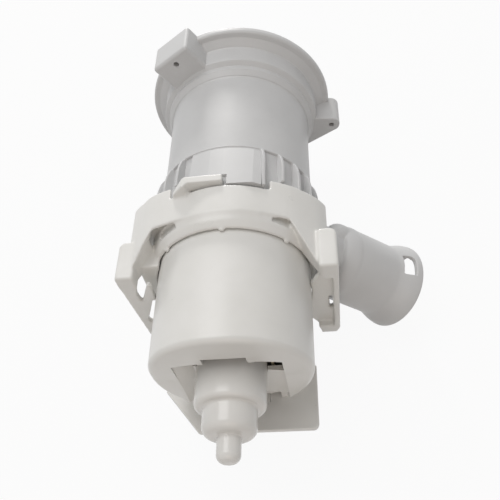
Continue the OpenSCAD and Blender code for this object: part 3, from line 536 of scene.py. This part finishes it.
corner = curve((cup_r - corner_r, 150.2), corner_r, 0, corner_turn, 12)
bow_mid = (corner[-1][0] - bow_r * math.cos(math.radians(corner_turn)),
           corner[-1][1] - bow_r * math.sin(math.radians(corner_turn)))
end_bow = curve(bow_mid, bow_r, corner_turn, 90, 8)
cup_profile = ([(cup_in, cup_front), (cup_r - lip_edge, cup_front), (cup_r, cup_front + lip_edge)] + corner
               + end_bow[1:] + [(0, end_bow[-1][1]), (0, 151.0)] + curve((26.6, 148.6), 2.4, 90, 0))
cup = turned("motor_cup_moulding", cup_profile, 240)
for vertex in cup.data.vertices:
    if -vertex.co.y > lean_from and vertex.co.z > 0:
        vertex.co.y -= cup_lean * vertex.co.z / cup_r
window_side = [(20, 12.1), (17, 13.3), (13, 14.2), (9, 14.7), (8, 14.7), (8, 18.4)]
window_shape = [(-20, -40), (20, -40)] + window_side + mirrored(window_side[::-1])
end_window = across("end_window", window_shape, 147.6, 157)
combine(cup, end_window, "DIFFERENCE")
for x in (-9.2, 9.2):
    combine(cup, across("end_tooth", oblong(x - 1, x + 1, 12.7, 15.7), 151.6, 154.6), "UNION")
base_corner = curve((28.0, 160.2), 2.4, 90, 0, 8)
base_outline = [(-33, 135), (-33, 144.2), (-18.4, 162.2), (-17.4, 162.6)] + base_corner + [(30.4, 135)]
base = upright("base_plate", base_outline, base_low, base_top)
round_edges(base, width=0.5, segments=3, angle=50)
combine(cup, base, "UNION")
for x in (-17, 17):
    saddle = across("base_saddle", oblong(x - 1.2, x + 1.2, -31.5, -25.6), 135.2, 148.4)
    combine(cup, saddle, "UNION")

# Room for the stator, then the guards that show behind the window, and room for the can and the terminals.
stator_profile = [(0, 104), (28.99, 104), (28.99, 148.6), (26.6, 150.99), (0, 150.99)]
combine(cup, turned("stator_room", stator_profile, 240), "DIFFERENCE")
right_guard = [(8, 149.3), (21.2, 149.3), (21.2, 151.6), (8, 150.4)]
left_guard = oblong(-15, -8, 148.8, 149.8)
left_cheek = [(-21.2, 150.2), (-14.2, 149), (-14.2, 149.8), (-19.9, 153.75), (-21.2, 153.75)]
for guard_plan, guard_top in ((right_guard, -0.8), (left_guard, 3), (left_cheek, 12.6)):
    combine(cup, upright("coil_guard", guard_plan, guard_low, guard_top), "UNION")
combine(cup, turned("can_room", oblong(0, 13.41, 100, 190), 96), "DIFFERENCE")
block_room = upright("block_room", oblong(-11.15, 11.15, 137.35, 150.65), -34, -28.4)
combine(cup, block_room, "DIFFERENCE")
round_edges(cup, width=0.25, segments=2, angle=50)
fix(cup, ivory_plastic, "motor_cup", angle=28)

# Terminal block: an ivory polyester socket for the lead's plug, moulded by itself and clipped into the base
# plate from below.
socket = solid_copy("terminal_block_moulding", "terminal_block")
soften(socket, voxel=0.22, passes=3, keep=0.4)
fix(socket, ivory_plastic, "terminal_block", angle=60)

# Terminal blades: two tabs punched from rolled brass and pushed into the socket. Rolling leaves bright lines
# along them, which are drawn 0.3 mm apart.
rolled_brass, tree, shader, place = material("rolled_brass", Metallic=1.0)
shader.inputs["Base Color"].default_value = linear("#D2B06A")
grain = node(tree, "ShaderNodeMapping", {"Scale": (METRE / 0.3, METRE / 0.3, 60)}, {"Vector": place})
lines = node(tree, "ShaderNodeTexNoise", {"Scale": 1.0, "Detail": 2.0}, {"Vector": grain.outputs["Vector"]})
gloss = node(tree, "ShaderNodeMapRange", {"To Min": 0.16, "To Max": 0.36}, {"Value": lines.outputs["Fac"]})
tree.links.new(gloss.outputs["Result"], shader.inputs["Roughness"])
dress(rolled_brass, "terminal_blades")

# Bracket: one ivory moulding that locks the motor to the housing. A clamp ring with a cone in front, an
# arch over it with a catch finger, two pads and two unlike legs.
band_r, band_t, band_front, notch_edge, leg_front = 35.4, 2.4, 102.4, 89.8, 120.8
ring_in, ring_end, lip_in, wedge_r, rib_angles = 33.0, 105.75, 31.4, 60, (-47, 0, 47)
right_foot = (26.0, [(26, 26.7), (34.6, 19.3), (38.3, 14.2), (39, 12)])
left_foot = (19.0, [(28.7, 27.6), (36, 22), (39, 19.3), (40.2, 17.3), (40.2, 12)])


def bowed(points, steps=5):
    """A smooth line through a row of points."""
    ends = [points[0]] + points + [points[-1]]
    line = []
    for a, b, c, d in zip(ends, ends[1:], ends[2:], ends[3:]):
        for t in (i / steps for i in range(steps)):
            line.append(tuple(0.5 * (2 * q + (r - p) * t + (2 * p - 5 * q + 4 * r - s) * t * t
                                     + (3 * q - p - 3 * r + s) * t ** 3) for p, q, r, s in zip(a, b, c, d)))
    return line + [points[-1]]


def arch_outline(inset):
    """Outline of the arch across the pump axis, drawn in by an inset, from the right foot to the left."""
    outline = []
    for sign, (bow_end, corners) in ((1, right_foot), (-1, left_foot)):
        bow = [from_top(band_r, bow_end * i / 9) for i in range(10)]
        half = bow[:-1] + bowed([bow[-1]] + corners)
        shares = [1 - inset / math.hypot(x, z) for x, z in half]
        half = [(sign * x * share, z * share) for (x, z), share in zip(half, shares)]
        outline = half[::-1] if sign == 1 else outline + half[1:]
    return outline


def wedge(start, end):
    """A sector about the pump axis, between two angles from the top."""
    arc = [from_top(wedge_r, start + (end - start) * i / 6) for i in range(7)]
    return across("wedge", [(0, 0)] + arc, 80, 130)


arch = across("motor_bracket_moulding", arch_outline(0), 80, 122)
under = across("arch_under", [(x, z - 0.01) for x, z in arch_outline(band_t)], 70, 130)
combine(arch, under, "DIFFERENCE")
arch_plan = [(-44, 84.4), (-21.95, 84.4), (-21.95, notch_edge), (17.7, notch_edge), (17.7, 85), (44, 85),
             (44, leg_front), (36.1, leg_front), (25, band_front), (-28.7, band_front), (-39.6, leg_front),
             (-44, leg_front)]
arch_cut = upright("arch_plan", arch_plan, 0, 40)
combine(arch, arch_cut, "INTERSECT")
lip = [(32.7, 108.7), (lip_in, 108.7), (lip_in, ring_end), (ring_in, ring_end)]
ring_profile = [(ring_in, notch_edge), (34.9, notch_edge), (34.9, band_front), (34.25, ring_end)] + lip
ring = turned("bracket_ring", ring_profile, 240)
wall_profile = [(ring_in, 96), (35.2, 96), (35.2, band_front + 0.3)] + lip
front_wall = turned("front_wall", wall_profile, 240)
combine(front_wall, wedge(-33, 24.6), "INTERSECT")
pocket_back = across("pocket_back", arch_outline(0.5), 96, 98)
parts = [arch, ring, front_wall, pocket_back]
for rib_angle in rib_angles:
    rib = across("centring_rib", oblong(31.05, 32.4, -0.9, 0.9), 106.05, 109.6)
    rib.data.transform(about_axis(rib_angle - 90))
    parts.append(rib)

# Catch finger: a straight bar in the notch, rooted at the left shoulder, that hooks behind the crown's panel.
finger_plan = [(-20.35, 90.8), (-20.35, 89.2), (-14.95, 85.4), (0, 85.4), (0, 88.8), (-13.55, 88.8),
               (-15.15, 90.8)]
finger_face = [(-21.35, 26), (0.2, 26), (0.2, 37.2), (-15.95, 37.2), (-21.35, 31.4)]
finger = upright("catch_finger", finger_plan, 26, 40)
combine(finger, across("finger_face", finger_face, 80, 95), "INTERSECT")
parts.append(finger)

# Pads on both shoulders, and the skirts that close the shoulders' slanted front edges.
for sign, out, inner, slant, kink in ((1, 42.3, 26.9, 36.1, 25.0), (-1, 43.5, 30.6, 39.6, 28.7)):
    pad_outline = ([(out - 7.4, leg_front), (out - 7.4, 102.8)] + curve((out - 2.6, 105.4), 2.6, -90, 0)
                   + [(out, leg_front)])
    pad = upright("bracket_pad", mirrored(pad_outline, sign), 13, 21)
    round_edges(pad, width=1.0, segments=3, angle=50)
    parts.append(pad)
    start = band_front + (leg_front - band_front) * (inner - kink) / (slant - kink) - 0.4
    skirt_plan = [(inner, start - band_t), (inner, start), (slant, leg_front - 0.4),
                  (slant, leg_front - band_t - 0.4)]
    skirt = upright("bracket_skirt", mirrored(skirt_plan, sign), 10, 40)
    combine(skirt, across("inside_arch", arch_outline(0.4), 95, 135), "INTERSECT")
    parts.append(skirt)

# Left leg: a plate with two slanted openings and a web behind it.
left_leg = [(30.5, 14.1), (31.5, 15.3), (35, 15.3), (36.6, 14), (36.6, 20), (43.5, 20), (40.1, -25.6),
            (38.6, -28.6), (34.7, -28.6), (34.7, -27), (31.7, -17)]
leg = across("left_leg", mirrored(left_leg), 118.4, leg_front)
for hole in ([(37.5, 9), (37, 3), (31.7, 15.9), (32.3, 19), (36.25, 14.6)],
             [(32.26, 4.7), (37.7, -9.5), (37.5, -12), (31, -11), (31, 4)]):
    combine(leg, across("leg_hole", mirrored(hole), 115, 124), "DIFFERENCE")
parts += [leg, across("leg_web", oblong(-28, -36.4, -8.4, 16), 106.25, 112.25)]

# Right leg: a recessed plate with a narrow slot, a raised toe and a rail along its outer edge.
plate_back = 115.2
right_leg = [(28.5, -0.4), (34, 9.45), (35.4, 14), (35.4, 20), (42.3, 20), (41.5, -25.6), (40, -28.6),
             (33.5, -28.6), (33.5, -27), (28.5, -19.5)]
leg = across("right_leg", right_leg, plate_back, 117.6)
combine(leg, across("leg_slot", oblong(37.8, 39.2, -14.2, -5.2), 112, 124), "DIFFERENCE")
toe_outline = [(33.5, -28.6), (40, -28.6), (41.5, -25.6), (41.5, -23.4), (32.4, -23.4), (33.5, -27)]
toe = across("leg_toe", toe_outline, plate_back, leg_front)
rail = across("leg_rail", [(39.9, 20), (42.3, 20), (41.5, -25.6), (39.1, -25.6)], 110.8, leg_front)
parts += [leg, toe, rail]
bracket = join(parts)
soften(bracket, voxel=0.4, passes=0, keep=1.0)

# Room for the motor and the outlet's neck, and the pockets between the lip and the arch on both sides.
room_profile = [(0, 60), (ring_in, 60), (ring_in, ring_end), (lip_in, ring_end), (lip_in, 112), (31.15, 112),
                (31.15, 130), (0, 130)]
motor_room = turned("motor_room", room_profile, 240)
for rib_angle in rib_angles[::-1]:
    keep_rib = across("keep_rib", oblong(31.05, 33, -0.95, 0.95), 105.9, 111)
    keep_rib.data.transform(about_axis(rib_angle - 90))
    combine(motor_room, keep_rib, "DIFFERENCE")
combine(bracket, motor_room, "DIFFERENCE")
neck_room = turned("neck_room", oblong(0, 16.8, 15.4, 90), 96, outlet_from, outlet_dir, outlet_up)
combine(bracket, neck_room, "DIFFERENCE")
for start, end in ((24.6, 46), (-50, -33)):
    pocket = turned("lip_pocket", oblong(33.75, 40, 100.2, 104.4), 192)
    combine(pocket, wedge(start, end), "INTERSECT")
    combine(pocket, across("pocket_roof", arch_outline(1.3), 95, 110), "INTERSECT")
    combine(bracket, pocket, "DIFFERENCE")
soften(bracket, voxel=0.36, passes=8, keep=0.6)
fix(bracket, ivory_plastic, "motor_bracket", angle=60)

# Plain studio: a sheet of white paper that keeps a faint shadow, one wide lamp above, a smaller one behind
# and a weak warm fill in front.
pump_middle = Vector((0, -0.1, 0))
bpy.ops.object.select_all(action="DESELECT")
bpy.ops.mesh.primitive_plane_add(size=6, location=(pump_middle.x, pump_middle.y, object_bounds()[0].z))
floor = bpy.context.object
floor.name = "studio_floor"
paper, tree, shader, place = material("white_paper", Roughness=0.9)
shader.inputs["Base Color"].default_value = linear("#CCCCCC")


def seen(tree):
    """One for what the camera sees directly, mirrored or through glass, and nought for other light."""
    rays = node(tree, "ShaderNodeLightPath")
    total = rays.outputs["Is Camera Ray"]
    for kind in ("Is Glossy Ray", "Is Transmission Ray"):
        both = node(tree, "ShaderNodeMath", {"operation": "MAXIMUM"})
        tree.links.new(total, both.inputs[0])
        tree.links.new(rays.outputs[kind], both.inputs[1])
        total = both.outputs[0]
    return total


white = node(tree, "ShaderNodeEmission", {"Strength": 1.0})
share = node(tree, "ShaderNodeMapRange", {"To Max": 0.93}, {"Value": seen(tree)})
mixed = node(tree, "ShaderNodeMixShader", (), {"Fac": share.outputs["Result"]})
tree.links.new(shader.outputs[0], mixed.inputs[1])
tree.links.new(white.outputs[0], mixed.inputs[2])
tree.links.new(mixed.outputs[0], tree.nodes["Material Output"].inputs["Surface"])
floor.data.materials.append(paper)

world = bpy.data.worlds.new("studio_air")
bpy.context.scene.world = world
world.use_nodes = True
air = world.node_tree
strength = node(air, "ShaderNodeMapRange", {"To Min": 0.42, "To Max": 1.0}, {"Value": seen(air)})
air.links.new(strength.outputs["Result"], air.nodes["Background"].inputs["Strength"])
air.nodes["Background"].inputs["Color"].default_value = (1, 1, 1, 1)


def lamp(name, place, size, power, colour):
    """A round lamp at a place, turned towards the pump's middle."""
    data = bpy.data.lights.new(name, "AREA")
    data.shape = "DISK"
    data.size = size
    data.energy = power
    data.color = linear(colour)[:3]
    made = bpy.data.objects.new(name, data)
    made.location = place
    made.rotation_euler = (pump_middle - Vector(place)).to_track_quat("-Z", "Y").to_euler()
    bpy.context.collection.objects.link(made)


lamp("key_softbox", (-0.3, 0.1, 1.0), size=0.8, power=4.1, colour="#FFFFFF")
lamp("rear_lamp", (-0.15, 1.0, 0.38), size=0.2, power=5.0, colour="#FFFDFA")
lamp("front_fill", (0.1, -1.0, 0.5), size=0.9, power=1.4, colour="#FFE8D2")

# Camera at the photograph's place, above the motor and a little to its right. Its place, turn and lens were
# worked out from the outlines of the rim, tube, cup and pads.
camera_place = Vector((0.039476, -0.260155, 0.217055))
azimuth, elevation, roll = math.radians(11.0), math.radians(52.48), math.radians(-12.83)
back = Vector((math.sin(azimuth) * math.cos(elevation), -math.cos(azimuth) * math.cos(elevation),
               math.sin(elevation)))
level = Vector((math.cos(azimuth), math.sin(azimuth), 0))
above = back.cross(level)
right = level * math.cos(roll) + above * math.sin(roll)
up = above * math.cos(roll) - level * math.sin(roll)
view = Matrix((right, up, back)).transposed().to_4x4()
view.translation = camera_place
lens = bpy.data.cameras.new("photo_camera")
lens.lens = 46.8
lens.sensor_width = 36
lens.shift_x = -0.008
lens.shift_y = 0.004
lens.clip_start = 0.01
camera = bpy.data.objects.new("photo_camera", lens)
camera.matrix_world = view
bpy.context.collection.objects.link(camera)
bpy.context.scene.camera = camera
bpy.context.scene.view_settings.view_transform = "Standard"
